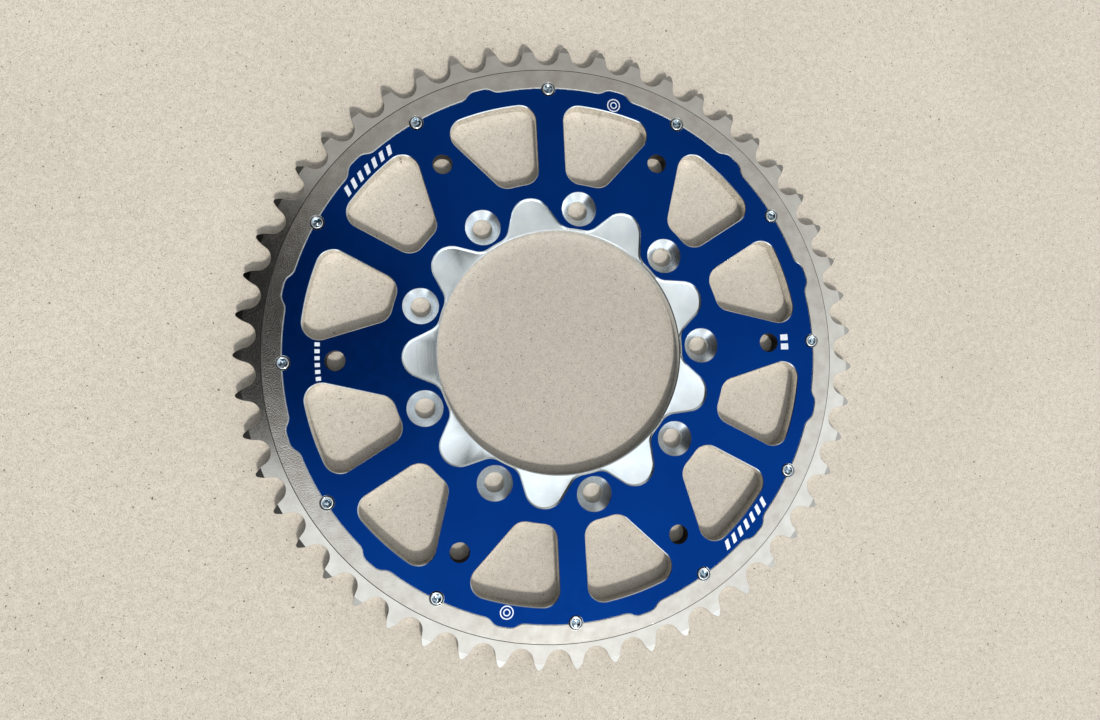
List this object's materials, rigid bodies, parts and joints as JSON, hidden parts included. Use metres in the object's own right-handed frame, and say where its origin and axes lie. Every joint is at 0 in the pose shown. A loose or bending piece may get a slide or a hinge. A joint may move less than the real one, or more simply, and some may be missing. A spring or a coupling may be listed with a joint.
{
  "type": "rear sprocket",
  "caption": "Motorcycle rear sprocket: a steel toothed ring riveted around an anodised aluminium carrier with windows, countersunk bolt holes and a large centre bore.",
  "frame": {"origin": "centre of the bolt circle, on the hub side face of the carrier, which is also on the axis of the bore", "axes": "+Z along the sprocket axis towards the outer, countersunk face; +X through one hub bolt hole that lines up with a wide spoke"},
  "size_m": [0.2652, 0.265, 0.0063],
  "materials": {
    "ring_steel": "matt blasted band, smoother turned teeth",
    "carrier_aluminium": "satin blue anodised faces, bare where machined afterwards",
    "rivet_steel": "bright zinc plated"
  },
  "bodies": {
    "root": {"tooth_ring": "ring_steel", "carrier": "carrier_aluminium", "rivet_01": "rivet_steel", "rivet_02": "rivet_steel", "rivet_03": "rivet_steel", "rivet_04": "rivet_steel", "rivet_05": "rivet_steel", "rivet_06": "rivet_steel", "rivet_07": "rivet_steel", "rivet_08": "rivet_steel", "rivet_09": "rivet_steel", "rivet_10": "rivet_steel", "rivet_11": "rivet_steel", "rivet_12": "rivet_steel"}
  },
  "joints": []
}
